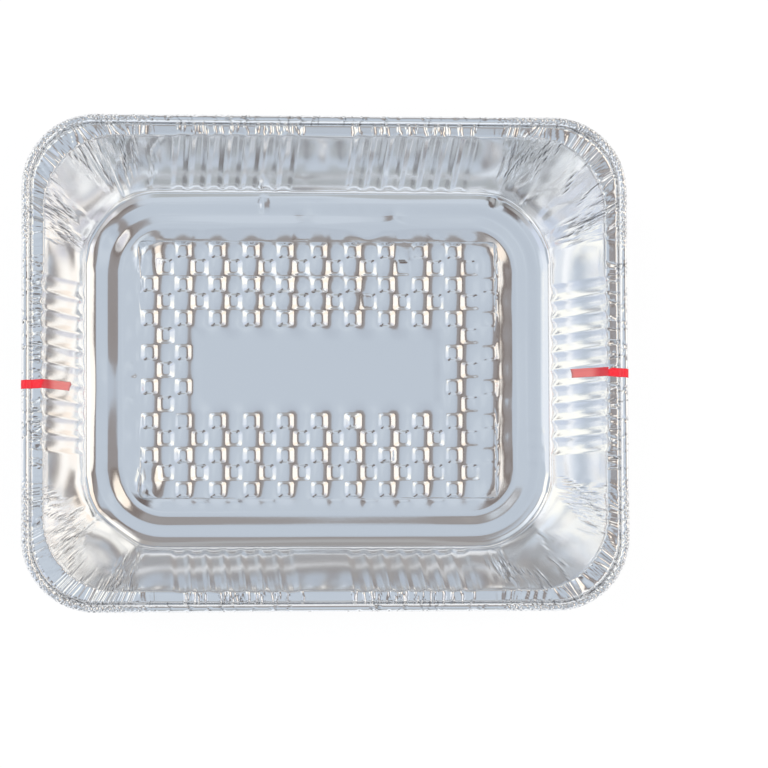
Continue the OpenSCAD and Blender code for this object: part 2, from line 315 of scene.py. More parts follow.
embossing = {
    "cell": (9.4, 9.5), "count": (21, 15), "height": 0.70, "weave": (0.55, 0.15), "level": 1.55,
    # half size of a square's flat, width of its sides and width of the bends of a side: for the sides
    # that face +X, for those that face -X, and for those along the rows
    "lit": (1.5, 4.2, 1.5), "soft": (1.3, 3.8, 1.2), "rowSide": (2.75, 2.0, 0.75), "border": 7.2,
    # how much wider the border is on the +Y side: it widens over a stretch from y on and ends before x
    "topBorder": (3.5, 55, 95, 12),
    "lastColumn": (84, 10, 1.8),              # the last column lies further out: from x, over, by
    "weaveEnd": (78.9, 16),                   # the weave along X ends at this y, fading over
    "smoothCorner": (101, 66, 7.5),           # no pattern round these places on the +X side: x, y, reach
    "ripple": (-8, 43, 48, 17, 0.38),         # where the rows swell more: place, reaches and height
    "plain": (68.5, 21.5),                    # half size of the plain field in the middle
    # strength of the squares just outside the panel, how uneven all are, and the range they stay in
    "edgeStrength": 0.24, "uneven": 0.2, "usual": 0.88, "strongest": 1.15,
    # where the pattern is pressed deeper or less deep: place x and y, reach along x and y, share added
    "pressed": ((100, 0, 26, 120, -0.38), (-60, 50, 45, 22, 0.20), (-95, -10, 20, 60, 0.08)),
    # where the grid lines cross one cell, as shares of its length and of its width
    "cutsX": (0, 0.08, 0.16, 0.25, 0.37, 0.63, 0.75, 0.84, 0.92),
    "cutsY": (0, 0.045, 0.1, 0.15, 0.3, 0.7, 0.85, 0.9, 0.955),
    # dents: place x and y, reach along x and y, height
    "dents": ((-30.5, 91.6, 1.8, 3.5, 0.9), (-7, 86, 5, 4, -0.5), (43, 84.5, 4, 5, -0.5),
              (26, 74.5, 9, 3, -0.5), (-76, -28, 3, 3, -0.5), (-76, -47, 3, 3, 0.4),
              (-67, -57, 3, 3, -0.5), (99.5, 95, 2.2, 3.5, 0.9), (18, -29.4, 2.2, 3.2, 1.0),
              (27, 38.8, 2.2, 3.5, 1.0), (40, -47.7, 2, 3, 0.8), (48.5, 61, 3.6, 8, 1.3),
              (-120.5, -8, 6, 14, -0.7), (94, 60, 8.5, 12, 0.8), (94, -60, 8.5, 10, 0.7),
              (-114, 74, 8, 10, 2.0), (-114, -69, 8, 10, 1.6),
              (-94, 63, 8.5, 8.5, 1.6), (-94, -63, 8.5, 8.5, 1.6)),
}


# A soft bump: height exp(-(x / reachX)^2 - (y / reachY)^2), with x and y from its middle.
def bump(x, y, middleX, middleY, reachX, reachY, height):
    return height * np.exp(-((x - middleX) / reachX) ** 2 - ((y - middleY) / reachY) ** 2)


# Side of a pressed square: 1 on its flat top and 0 beyond its side, a straight slope with a bend of
# the given width at each end. Over a bend b the fall is t^2 / 2b, and then it goes on as t - b / 2.
def pressedSide(place, flat, width, bend):
    t = np.abs(place) - flat
    first = np.clip(t, 0, bend)
    middle = np.clip(t - bend, 0, width - 2 * bend)
    last = np.clip(t - width + bend, 0, bend)
    fall = first ** 2 / (2 * bend) + middle + last - last ** 2 / (2 * bend)
    return 1 - fall / (width - bend)


# Distance inside the outline of a rounded rectangle, given as half length, half width, height and radius.
def insideOutline(x, y, outline):
    beyondX, beyondY = np.abs(x) - outline[0] + outline[3], np.abs(y) - outline[1] + outline[3]
    return outline[3] - np.hypot(np.maximum(beyondX, 0), np.maximum(beyondY, 0)) - np.minimum(
        np.maximum(beyondX, beyondY), 0)


# The basket pattern of the floor: raised squares on every second column and row, sunk squares on
# the others, and sheet between that swells with them. Height = raised side(x) side(y)
# - sunk side(x) side(y) + weaveX cos(pi x / length) + weaveY cos(pi y / width), and in one place
# + ripple (1 + cos(pi y / width)). The cosines run out at the edge of the panel as fadingCosine says,
# and all of it is left out near two corners. A square's side that faces +X is wider than the other.
def basket(x, y, e):
    cellX, cellY = e["cell"]
    countX, countY = e["count"]
    start, over, shift = e["lastColumn"]
    x = x - shift * smooth((x - start) / over)
    across, up = x / cellX + (countX - 1) / 2, y / cellY + (countY - 1) / 2
    strengths = dice.uniform(1 - e["uneven"], 1 + e["uneven"], (countX + 6, countY + 6))
    total = np.zeros(x.shape)
    for sign, odd in ((1, 0), (-1, 1)):
        column, row = 2 * np.round((across - odd) / 2) + odd, 2 * np.round((up - odd) / 2) + odd
        placeX, placeY = (across - column) * cellX, (up - row) * cellY
        facesRight = sign * placeX > 0
        sideX = pressedSide(placeX, *(np.where(facesRight, *both) for both in zip(e["lit"], e["soft"])))
        square = sideX * pressedSide(placeY, *e["rowSide"])
        total += sign * square * strengthAt(column, row, strengths, e)
    ripple = bump(x, y, *e["ripple"])
    endY, fadeY = e["weaveEnd"]
    waveX = fadingCosine(across, countX) * smooth((endY - np.abs(y)) / fadeY)
    waveY = fadingCosine(up, countY)
    swell = e["weave"][0] * waveX + e["weave"][1] * waveY + ripple * (1 + waveY)
    fromPlain = np.maximum((np.abs(x) - e["plain"][0]) / cellX, (np.abs(y) - e["plain"][1]) / cellY)
    cornerX, cornerY, reach = e["smoothCorner"]
    calm = 1 - np.exp(-((x - cornerX) ** 2 + (np.abs(y) - cornerY) ** 2) / reach ** 2)
    return (e["height"] * total + swell * smooth(fromPlain + 0.5)) * calm


# cos(pi cells) within the panel. Beyond its edge, where the cosine is 0, the line runs on with the
# same slope and levels out at -f: -f (1 - exp(-pi d / f)), where d is the distance in cells.
def fadingCosine(cells, count, level=0.6):
    inner = np.clip(cells, -0.5, count - 0.5)
    return np.cos(math.pi * inner) - level * (1 - np.exp(-math.pi * np.abs(cells - inner) / level))


# Strength of the square in a column and row: its random share, times what its place adds to the usual
# strength, and 0 in the plain field and at the panel's corners. Just outside the panel it is weak.
def strengthAt(column, row, strengths, e):
    cellX, cellY = e["cell"]
    countX, countY = e["count"]
    middleX, middleY = (column - (countX - 1) / 2) * cellX, (row - (countY - 1) / 2) * cellY
    inside = (column >= 0) & (column < countX) & (row >= 0) & (row < countY)
    beside = (column >= -1) & (column <= countX) & (row >= -1) & (row <= countY)
    plain = (np.abs(middleX) < e["plain"][0]) & (np.abs(middleY) < e["plain"][1])
    corner = np.isin(column, (0, countX - 1)) & np.isin(row, (0, countY - 1))
    i, j = np.clip(column.astype(int) + 3, 0, countX + 5), np.clip(row.astype(int) + 3, 0, countY + 5)
    pressed = np.full(middleX.shape, e["usual"])
    for region in e["pressed"]:
        pressed += bump(middleX, middleY, *region)
    beyond = e["edgeStrength"] * (1 + (strengths[i, j] - 1) / e["uneven"])
    shown = np.where(plain | corner, 0, np.where(inside, 1, np.where(beside, beyond, 0)))
    return strengths[i, j] * np.minimum(pressed, e["strongest"]) * shown


# Slow waves of a sheet that was handled: the sum over waves of the height times
# sin(2 pi (x cos a + y sin a) / length + phase) * length / longest, with seeded angles and phases.
def drawWaves(shortest, longest, count, height):
    length = dice.uniform(shortest, longest, count)
    size = height * length / (longest * math.sqrt(count))
    return np.stack([length, dice.uniform(0, math.pi, count), dice.uniform(0, 6.28, count), size], axis=1)


def slowWaves(x, y, waves):
    total = np.zeros(x.shape)
    for length, angle, phase, size in waves:
        total += size * np.sin((x * math.cos(angle) + y * math.sin(angle)) * 2 * math.pi / length + phase)
    return total


floorWaves = drawWaves(30, 110, 12, 0.16)
wallWaves = drawWaves(25, 90, 10, 0.08)
flangeWaves = drawWaves(20, 70, 8, 0.10)


def gridLines(cell, count, cuts):
    inner = (np.arange(count)[:, None] + np.array(cuts)).ravel()
    return (np.concatenate([[0], inner[inner > 0], [count]]) - count / 2) * cell


# Point of the slope that rises to the foot of the wall, the given distance before the foot.
def slopeEnd(s, distance):
    foot, knee = np.array(s["foot"]), np.array(s["slopeKnee"])
    return foot + (knee - foot) * distance / np.linalg.norm((knee - foot)[[0, 2]])


# Share of the flattening of the corners: it grows up the slope to the foot and fades up the wall.
def footShare(halfX, z, s):
    below = smooth((halfX - s["ringOut"][0]) / (s["foot"][0] - s["ringOut"][0]))
    above = np.clip((s["wallTop"][2] - z) / (s["wallTop"][2] - s["foot"][2]), 0, 1) ** 1.5
    return below * above


# Floor of the pan: the embossed panel on a grid, and rings from its outer edge to the foot of the
# wall. A point of the panel's edge that lies within the channel's straight stretch keeps its place
# along the side in proportion; one beside a corner keeps its angle seen from the corner's centre.
def floorPiece(s, e):
    xs = gridLines(e["cell"][0], e["count"][0], e["cutsX"])
    ys = gridLines(e["cell"][1], e["count"][1], e["cutsY"])
    gridX, gridY = np.meshgrid(xs, ys, indexing="ij")
    panel = np.stack([gridX, gridY, 0 * gridX + e["level"]], axis=-1).reshape(-1, 3)
    numbers = np.arange(len(panel)).reshape(gridX.shape)
    panelQuads = quadsOf(numbers.T[::-1], False)
    rim = np.concatenate([numbers[-1, :-1], numbers[:0:-1, -1], numbers[0, :0:-1], numbers[:-1, 0]])

    edge = panel[rim]
    quarter = np.repeat([0, 1, 2, 3], [len(ys) - 1, len(xs) - 1, len(ys) - 1, len(xs) - 1])
    angle = quarter * math.pi / 2
    ahead = edge[:, 0] * np.cos(angle) + edge[:, 1] * np.sin(angle)
    along = -edge[:, 0] * np.sin(angle) + edge[:, 1] * np.cos(angle)
    inner = np.array(s["channelIn"])
    even = quarter % 2 == 0
    straightAlong = np.where(even, inner[1], inner[0]) - inner[3]
    straightAhead = np.where(even, inner[0], inner[1]) - inner[3]
    beyond = np.abs(along) - straightAlong
    bend = np.where(beyond > 0, np.arctan2(beyond, ahead - straightAhead), 0) * np.sign(along)

    panelEdge = (xs[-1], ys[-1], e["level"], 0.0)
    names = ("borderTop", "channelIn", "channelOut", "ringIn", "ringOut", "slopeKnee")
    section = [panelEdge] + [s[k] for k in names]
    before, lower = s["floorEnd"]
    section += [slopeEnd(s, before) - np.array((0, 0, lower, 0))]
    section = divided(rounded(section, s["bendReach"]), s["ringStep"])[1:]
    halfX, halfY, z, radius = (section[:, k:k + 1] for k in range(4))
    reachAlong = np.where(even, halfY, halfX) - radius
    reachAhead = np.where(even, halfX, halfY) - radius
    localAlong = np.where(beyond > 0, np.sign(along) * (reachAlong + radius * np.sin(np.abs(bend))),
                          along / straightAlong * reachAlong)
    localAhead = reachAhead + radius * np.cos(bend)
    facing = angle + bend + 0 * localAhead
    push = cornerFlat(facing, s["kinks"]) * footShare(halfX, z, s)
    ringX = localAhead * np.cos(angle) - localAlong * np.sin(angle) + push * np.cos(facing)
    ringY = localAhead * np.sin(angle) + localAlong * np.cos(angle) + push * np.sin(facing)
    # the height of the ring wanders round the pan, from the channel on and not at the foot of the wall
    around = np.linspace(0, s["stepPlaces"], len(rim), endpoint=False)
    level = wander(around, s["stepPlaces"], s["stepWander"], True)[None, :]
    fadeIn, fadeOut = s["stepFade"]
    onRing = smooth((halfX - s["channelOut"][0]) / fadeIn)
    onRing *= 1 - smooth((halfX - s["ringOut"][0]) / fadeOut)
    z = z + (z - s["channelOut"][2]) * level * onRing
    rings = np.stack([ringX, ringY, z], axis=-1)

    ringNumbers = np.vstack([rim, len(panel) + np.arange(ringX.size).reshape(ringX.shape)])
    points = np.vstack([panel, rings.reshape(-1, 3)])
    x, y = points[:, 0], points[:, 1]
    inside = insideOutline(x, y, s["channelIn"])
    ground = s["channelIn"][2]
    more, startY, endX, over = e["topBorder"]
    wide = e["border"] + more * smooth((y - startY) / over) * smooth((endX - np.abs(x)) / over)
    border = ground + (e["level"] - ground) * np.clip(inside / wide, 0, 1)
    points[:, 2] = np.where(inside > 0, np.minimum(points[:, 2], border), points[:, 2])
    points[:, 2] += basket(x, y, e) * smooth(inside / e["border"])
    for dent in e["dents"]:
        points[:, 2] += bump(x, y, *dent)
    reach, over = s["floorWaves"]
    points[:, 2] += slowWaves(x, y, floorWaves) * smooth((reach + inside) / over)
    points[:, 2] = np.clip(points[:, 2], s["foil"] + 0.01, None)
    return points, np.vstack([panelQuads, quadsOf(ringNumbers, True)])


# Walls and rim

flutes = {
    # pitch, count on each half of a side, depth, power of the rise, and share of it where it is cut flat
    "longPitch": 9.7, "longCount": 7, "longDepth": 0.78, "longRound": 1, "longFlat": 0.66,
    "shortPitch": 9.5, "shortCount": 5, "shortDepth": 1.3, "shortRound": 2, "shortFlat": 1,
    "plainGap": 29.5,                         # plain stretch in the middle of a long side
    "toe": 2.2,                               # height over which the flutes start at the foot
    "bendFade": (1.5, 2),                     # they end this far past the flange's inner edge, fading over
}
wallDetail = {"longStations": 220, "shortStations": 150, "cornerStations": 500, "rows": 13}
flangeDetail = {"longStations": 480, "shortStations": 320, "cornerStations": 460}
curlDetail = {"longStations": 240, "shortStations": 160, "cornerStations": 300}


def stationsRound(w, keep):
    leg, place = [], []
    for quarter in range(4):
        count, half = ((w["shortStations"], keep[1]), (w["longStations"], keep[0]))[quarter % 2]
        leg += [np.full(count, 2 * quarter), np.full(w["cornerStations"], 2 * quarter + 1)]
        place += [np.linspace(-half, half, count, endpoint=False),
                  np.linspace(0, 1, w["cornerStations"], endpoint=False)]
    return np.concatenate(leg), np.concatenate(place)


# Depth of the flutes at the place s on a side. Each flute is pushed outwards by
# depth * min((1 - |2 f - 1|^power) / flat, 1), where f runs from 0 to 1 over its pitch. With the power 2
# it is an arc, with 1 it has straight sides and a flat back, and two flutes meet in a ridge.
def fluteDepth(leg, place, f):
    depth = np.zeros(len(place))
    for kind, gap, legs in (("short", 0, (0, 4)), ("long", f["plainGap"], (2, 6))):
        pitch, count = f[kind + "Pitch"], f[kind + "Count"]
        run = (np.abs(place) - gap / 2) / pitch
        share = run - np.floor(run)
        arc = 1 - np.abs(2 * share - 1) ** f[kind + "Round"]
        arc = np.minimum(arc / f[kind + "Flat"], 1)
        depth += np.where(np.isin(leg, legs) & (run > 0) & (run < count), arc * f[kind + "Depth"], 0)
    return depth


# Share of the flutes that is left over the bend between the wall and the flange.
def fluteFade(across, s, f):
    past, over = f["bendFade"]
    return smooth((s["flangeIn"][0] + past - across) / over)


# A crease across rows: height * max(0, 1 - |s - line| / width). The line runs from start at the first
# row to end at the last one with a random sway, and fades where the row's share lies outside
# low..high. A crease pushed outwards, a valley, gets painted shade of max(0, 1 - 2.5 |s - line| / width).
def crease(s, rows, start, end, width, height, low=-1.0, high=2.0):
    sway = 0.6 * width * np.sin(rows * dice.uniform(5, 14) + dice.uniform(0, 6.28))
    away = np.abs(s - start - (end - start) * rows - sway) / width
    fade = smooth((rows - low) / 0.12) * smooth((high - rows) / 0.12)
    push, line = np.clip(1 - away, 0, None), np.clip(1 - 2.5 * away, 0, None)
    return height * fade * push, (height > 0) * fade * line


# Zigzag with uneven steps: straight lines between turning points that lie a random step apart,
# alternately above and below, each by a random part of the height.
def zigzag(x, length, step, height):
    steps = dice.uniform(0.6, 1.4, int(length / step) + 4) * step
    turns = np.concatenate([[-step], np.cumsum(steps) - step])
    values = np.where(np.arange(len(turns)) % 2, 1, -1) * dice.uniform(0.25, 1, len(turns)) * height
    return np.interp(x, turns, values)


creasing = {
    # creases of a wall's corner: count, height in mm, and range of the width as a share of the corner
    "long": 9, "longHeight": 0.6, "longWidth": (0.02, 0.05),
    "short": 36, "shortHeight": 0.95, "shortWidth": (0.006, 0.012),
    "cross": 7, "crossHeight": 1.1, "crossWidth": (0.009, 0.015),
    "fine": 18, "fineHeight": 0.5, "fineWidth": (0.006, 0.014),
    # crimps and broader folds of the flange's corners: steps and heights, how far they slant, and how
    # often the slant and the strength change on the way round a corner
    "rimStep": 0.95, "rimHeight": 0.42, "foldStep": 2.6, "foldHeight": 0.55,
    "slant": 5, "slantPlaces": 15, "strongPlaces": 22,
    # dark: how dark the painted shade is at the bottoms of crimps, pleats and creases
    "sideCrimps": 4.2, "crimpHeight": 0.85, "curlHeight": 0.46, "dark": 0.9,
    # wallDark: how much darker the painted shade of each corner's folds is on the wall
    "wallDark": (1.9, 2.0, 1.2, 1.0),         # how much darker each corner's folds are on the wall
}


# Push of the corner creases on the walls, outwards where it is positive, and the painted shade of
# their folds. On each corner some long creases fan out from the two kinks of the foot, sharp short
# ones crowd round the same lines, some cross them, and fine ones run down from the rim.
def cornerCreases(leg, place, rows, c, kinks):
    total, folds = np.zeros((2, len(rows), len(place)))
    for quarter, (first, last, depth) in enumerate(kinks):
        here = leg == 2 * quarter + 1
        w = place[here][None, :]
        push, foldShade = np.zeros((2, len(rows), w.size))
        lines = [(kink / 90, np.clip(0.5 + (kink / 90 - 0.5) * 0.8, 0, 1)) for kink in (first, last)]

        def press(start, end, width, height, low, high, dark):
            nonlocal push, foldShade
            more, line = crease(w, rows, start, end, width, height, low, high)
            push = push + more
            # painted shade along the valleys of the creases
            foldShade = np.maximum(foldShade, np.minimum(c["wallDark"][quarter] * dark * line, 0.95))

        for k in range(c["long"]):
            bottom, top = lines[k % 2] if dice.uniform() < 0.6 else (dice.uniform(0.1, 0.9),) * 2
            press(bottom + dice.normal(0, 0.03), np.clip(top + dice.normal(0, 0.13), 0.04, 0.96),
                  dice.uniform(*c["longWidth"]),
                  dice.choice([-1, 1]) * dice.uniform(0.3, 1) * c["longHeight"],
                  dice.uniform(-0.3, 0.4), dice.uniform(0.6, 1.5), 0.0)
        for k in range(c["short"]):
            bottom, top = lines[k % 2]
            middle, reach = dice.uniform(0.35, 1.0), dice.uniform(0.1, 0.3)
            press(bottom + dice.normal(0, 0.06), top + dice.normal(0, 0.06), dice.uniform(*c["shortWidth"]),
                  dice.choice([-1, 1]) * dice.uniform(0.3, 1) * c["shortHeight"],
                  middle - reach, middle + reach, c["dark"] * dice.uniform(0.5, 1))
        for k in range(c["cross"]):
            at, middle, lean = dice.uniform(0.08, 0.92), dice.uniform(0.3, 0.9), dice.normal(0, 0.3)
            reach = dice.uniform(0.08, 0.2)
            press(at - lean * middle, at + lean * (1 - middle), dice.uniform(*c["crossWidth"]),
                  dice.choice([-1, 1]) * dice.uniform(0.4, 1) * c["crossHeight"],
                  middle - reach, middle + reach, c["dark"])
        for k in range(c["fine"]):
            top = dice.uniform(0.06, 0.94)
            press(top + (0.5 - top) * 0.25 + dice.normal(0, 0.05), top, dice.uniform(*c["fineWidth"]),
                  dice.choice([-1, 1]) * dice.uniform(0.4, 1) * c["fineHeight"],
                  dice.uniform(0.5, 0.95), 2.0, c["dark"] * dice.uniform(0.2, 0.9))
        total[:, here], folds[:, here] = push, foldShade
    return total, folds


# Section of the rim: the bend, the flange and the groove, and then the curl with its flattened sides.
def rimSection(s):
    turn = np.radians(np.array(s["curlTurns"]))
    out = s["curlRadius"] * (np.cos(turn) - 1)
    curl = np.stack([s["length"] / 2 + out, s["width"] / 2 + out,
                     s["height"] - s["curlRadius"] * (1 - np.sin(turn)), s["rimRadius"] + out], axis=1)
    curl = rounded(curl, s["curlEdge"])
    top, inner, outer = (np.array(s[k]) for k in ("wallTop", "flangeIn", "flangeOut"))
    bend = rounded([top, inner, outer], s["bendReach"])[1:-1]
    flange = divided(np.vstack([bend[-1:], outer[None]]), s["flangeStep"])[1:]
    return np.vstack([bend, flange, curl]), len(curl)


# Walls: a section carried round the pan. Flutes push the wall outwards, the foot's corners are
# flattened, and creases and slow waves come on top.
def wallPush(s, f, leg, place, x, y, z):
    rows = np.clip((z - s["foot"][2]) / (s["wallTop"][2] - s["foot"][2]), 0, 1)
    push = fluteDepth(leg, place, f) * smooth((z - s["foot"][2]) / f["toe"])
    end, over = s["wallFade"]
    waves = slowWaves(x + y, 1.3 * z, wallWaves)
    return push + waves * smooth(rows / s["wallToe"]) * smooth((end - rows) / over), rows


def wallPiece(s, w, f, c):
    leg, place = stationsRound(w, s["keep"])
    foot, top = np.array(s["foot"]), np.array(s["wallTop"])
    start = rounded([slopeEnd(s, s["wallStart"]), foot, top], s["footReach"])[:-1]
    rise = np.linspace(0, 1, w["rows"])[1:, None]
    section = np.vstack([start, start[-1] + (top - start[-1]) * rise, rimSection(s)[0][:2]])
    x, y, nx, ny = roundLoops(section, leg, place, s["keep"])
    z = section[:, 2:3] + 0 * x
    push, rows = wallPush(s, f, leg, place, x, y, z)
    push += cornerFlat(np.arctan2(ny, nx), s["kinks"]) * footShare(section[:, 0:1], z, s)
    creases, foldShade = cornerCreases(leg, place, rows[:, :1], c, s["kinks"])
    push += creases * smooth(rows / s["wallToe"])
    return *gridMesh(x + push * nx, y + push * ny, z, True), foldShade


# The four corners of a ring: which stations are in it, the share and the length of its path there, and
# a fade at both ends.
def cornersOf(leg, place, s):
    for quarter in range(4):
        here = leg == 2 * quarter + 1
        share = place[here][None, :]
        ends = smooth(share / s["cornerEnds"]) * smooth((1 - share) / s["cornerEnds"])
        yield here, share, share * s["cornerPath"], ends


# The four sides of a ring: which stations are in it, their places along it, and half of its length.
def sidesOf(leg, place, s):
    for side in range(4):
        here = leg == 2 * side
        yield side, here, place[here][None, :], s["keep"][1 - side % 2]


# Flange between the bend and the groove. Crimps lift it along the sides, and the corners are
# gathered in fine pleats and broader folds.
def flangePiece(s, w, f, c):
    leg, place = stationsRound(w, s["keep"])
    section, curlRows = rimSection(s)
    section = section[:len(section) - curlRows]
    x, y, nx, ny = roundLoops(section, leg, place, s["keep"])
    z = section[:, 2:3] + 0 * x
    across = section[:, 0:1]
    past, over = s["flangeFade"]
    fromIn, toOut = across - s["flangeIn"][0], s["flangeOut"][0] - across
    onFlange = smooth((fromIn + past) / over) * smooth((toOut + past) / over)
    rows = (across - s["flangeIn"][0]) / (s["flangeOut"][0] - s["flangeIn"][0])
    lift, foldShade = np.zeros((2, *x.shape))
    push = fluteDepth(leg, place, f) * fluteFade(across, s, f)
    path = s["cornerPath"]
    for here, share, run, ends in cornersOf(leg, place, s):
        slant = rows * c["slant"] * wander(share * c["slantPlaces"], c["slantPlaces"])
        strong = 0.5 + 0.5 * wander(share * c["strongPlaces"], c["strongPlaces"])
        fine = zigzag(run + slant, path, c["rimStep"], c["rimHeight"]) * strong
        folds = zigzag(run + 1.5 * slant, path, c["foldStep"], c["foldHeight"]) * (1.3 - strong)
        lift[:, here] += (fine + folds) * ends * onFlange
        # painted shade where the pleats and folds of the corners sink deepest
        sunk = np.clip(-(fine + folds) / c["rimHeight"] - 0.75, 0, 1)
        foldShade[:, here] = c["dark"] * sunk * ends * onFlange
    for side, here, s0, half in sidesOf(leg, place, s):
        total, dark = np.zeros((2, len(rows), s0.size))
        places = np.arange(-half, half, c["sideCrimps"]) if side % 2 == 0 else groupedPlaces(f)
        for middle in places:
            for k in range(dice.integers(1, 3)):
                start = middle + dice.uniform(-1.6, 1.6)
                end, width = start + dice.uniform(-2.4, 2.4), dice.uniform(0.6, 1.0)
                height = dice.choice([-1, 1]) * dice.uniform(0.5, 1) * c["crimpHeight"]
                more, line = crease(s0, rows, start, end, width, height,
                                    dice.uniform(-0.6, 0.3), dice.uniform(0.8, 1.6))
                total -= more
                # painted shade along the sunk lines of the crimps
                dark = np.maximum(dark, line * c["dark"] * dice.uniform(0.3, 1))
        lift[:, here] += total * onFlange
        foldShade[:, here] = dark * onFlange
    lift += slowWaves(x, y, flangeWaves) * onFlange
    calm = tapeCalm(leg, place)
    lift = np.minimum(lift * calm, s["height"] - 0.02 - z)
    return *gridMesh(x + push * nx, y + push * ny, z + lift, True), foldShade * calm


# Curl: the rolled edge, with small nicks along the sides and a crumpled surface at the corners.
# Every push is inwards, so that the rim keeps its size.
def curlPiece(s, w, c):
    leg, place = stationsRound(w, s["keep"])
    section, curlRows = rimSection(s)
    section = section[len(section) - curlRows - 1:]
    x, y, nx, ny = roundLoops(section, leg, place, s["keep"])
    z = section[:, 2:3] + 0 * x
    share = np.linspace(0, 1, len(section))[:, None]
    size, foldShade = np.zeros((2, *x.shape))
    path = s["cornerPath"]
    for here, _, run, ends in cornersOf(leg, place, s):
        first = zigzag(run + 5 * share, path, c["rimStep"] * 1.3, c["curlHeight"])
        second = zigzag(run - 7 * share, path, c["rimStep"] * 1.7, c["curlHeight"])
        size[:, here] += (first + second) * ends
        # painted shade in the sunk crumples of the corners
        foldShade[:, here] = c["dark"] * np.clip(-(first + second) / c["curlHeight"] - 0.7, 0, 1) * ends
    for _, here, s0, half in sidesOf(leg, place, s):
        for k in range(int(half / 1.5)):
            start = dice.uniform(-half, half)
            more, line = crease(s0, share, start, start + dice.uniform(-2, 2), dice.uniform(0.5, 1.6),
                                dice.uniform(-0.12, 0.3), dice.uniform(-0.5, 0.5), dice.uniform(0.5, 1.5))
            size[:, here] -= more
            # painted shade along the nicks of the sides
            foldShade[:, here] = np.maximum(foldShade[:, here], c["dark"] * line * dice.uniform(0.2, 0.9))
    # thin lines of painted shade where the flattened sides of the curl meet, broken here and there
    around = np.linspace(0, 90, len(place), endpoint=False)
    for row, strong in s["curlShadeLines"]:
        foldShade[row] = np.maximum(foldShade[row], np.clip(strong + 0.5 * wander(around, 90, 1, True), 0, 0.9))
    size = np.minimum(size * tapeCalm(leg, place) - 0.02, 0) * smooth(share / 0.1)
    middleX = s["length"] / 2 - s["curlRadius"]
    outwards = (section[:, 0:1] - middleX) / s["curlRadius"]
    upwards = (z - s["height"] + s["curlRadius"]) / s["curlRadius"]
    push = size * outwards
    return *gridMesh(x + push * nx, y + push * ny, z + size * upwards, True), foldShade


# The foil is pressed nearly flat under a tape: this share of the crimps is left there, and the rest
# comes back over the given length beside it.
underTape = {"left": 0.15, "over": 2.5}


def tapeCalm(leg, place):
    near = np.full(len(place), 99.0)
    for tape in tapes.values():
        inStrip = np.abs(place - tape["turned"] * tape["middle"]) - tape["width"] / 2
        near = np.where(leg == tape["leg"], inStrip, near)
    return underTape["left"] + (1 - underTape["left"]) * smooth(near / underTape["over"])


# Middles of the crimps on a long side: two for each flute, and none over the plain stretch.
def groupedPlaces(f):
    middles = f["plainGap"] / 2 + np.arange(0, f["longCount"], 0.5) * f["longPitch"]
    return np.concatenate([-middles, middles])


# A strip of tape on the middle of a short rim. Its section follows the foil from below the rim's
# outer edge over the curl and the flange and down the wall, lifted by the gap along the normal, and
# is carried across the width on lines that slant a little.
def tapePiece(s, f, tape):
    section, curlRows = rimSection(s)
    foot, top = np.array(s["foot"]), np.array(s["wallTop"])
    down = top + (foot - top) * np.linspace(1, 0, film["rows"])[:-1, None] * tape["reach"]
    rows = np.vstack([down, top[None], section])
    step = np.linalg.norm(np.diff(rows[:, [0, 2]], axis=0), axis=1)
    rows = rows[np.concatenate([[True], step > film["closest"]])]
    rows = rows[:len(rows) - film["leaveOut"]]
    flat = rows[:, [0, 2]]
    along = np.gradient(flat, axis=0)
    normal = np.stack([-along[:, 1], along[:, 0]], axis=1) / np.linalg.norm(along, axis=1)[:, None]
    share = np.linspace(-0.5, 0.5, film["columns"])[None, :]
    travel = (s["length"] / 2 - rows[:, 0:1]) / film["slantOver"]
    across = tape["middle"] + tape["slant"] * travel + share * tape["width"] + 0 * travel
    x0, z0 = flat[:, 0:1] + 0 * across, flat[:, 1:2] + 0 * across
    turned = tape["turned"]
    legs = np.full(across.shape[1], tape["leg"])
    push = np.stack([wallPush(s, f, legs, turned * line, turned * x, y, z)[0] for line, x, y, z in
                     zip(across, x0, across, z0)])
    fade = fluteFade(x0, s, f)
    wrinkle = slowWaves(across, 3 * x0, tapeWaves)
    x = x0 + push * fade + (film["gap"] + wrinkle) * normal[:, 0:1]
    z = z0 + (film["gap"] + wrinkle) * normal[:, 1:2]
    points, quads = gridMesh(x * turned, across, z, False)
    return points, quads if turned > 0 else quads[:, ::-1]


# side of the pan, place along it, width, share of the wall that is covered, and slant
tapes = {
    "red_tape_right": {"leg": 0, "turned": 1, "middle": -5.5, "width": 4.8, "reach": 0.64, "slant": 2.0},
    "red_tape_left": {"leg": 4, "turned": -1, "middle": -12.0, "width": 4.8, "reach": 0.66, "slant": 1.2},
}
film = {
    "thickness": 0.08, "gap": 0.13,           # the gap holds the film clear of the crimps below it
    "rows": 15, "columns": 9, "closest": 0.05,    # rows down the wall, and the least step between rows
    "leaveOut": 5,                            # rows of the curl's underside that the tape doesn't reach
    "slantOver": 24,                          # length over which it moves sideways by its slant
}
tapeWaves = drawWaves(2.5, 9, 6, 0.05)



# Gives a piece its thickness, on the outside of its surface.
def thicken(piece, thickness):
    skin = piece.modifiers.new("thickness", "SOLIDIFY")
    skin.thickness = thickness * mm
    skin.offset = -1


sheetParts = {
    "foil_floor": floorPiece(sheet, embossing),
    "foil_walls": wallPiece(sheet, wallDetail, flutes, creasing),
    "foil_flange": flangePiece(sheet, flangeDetail, flutes, creasing),
    "foil_curl": curlPiece(sheet, curlDetail, creasing),
}
for name, (points, quads, *foldShade) in sheetParts.items():
    piece = makePiece(name, points, quads, foil, *foldShade)
    thicken(piece, sheet["foil"])
    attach(piece, "root")
    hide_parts("pan")
    print("stage:", name, "made, quads", len(quads))

for name, tape in tapes.items():
    strip = makePiece(name + "_film", *tapePiece(sheet, flutes, tape), redFilm)
    thicken(strip, film["thickness"])
    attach(strip, "root")
    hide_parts(name)
print("stage: tapes made")


# Light and background. The world is a studio: a pale ceiling, dark surroundings and soft boxes.

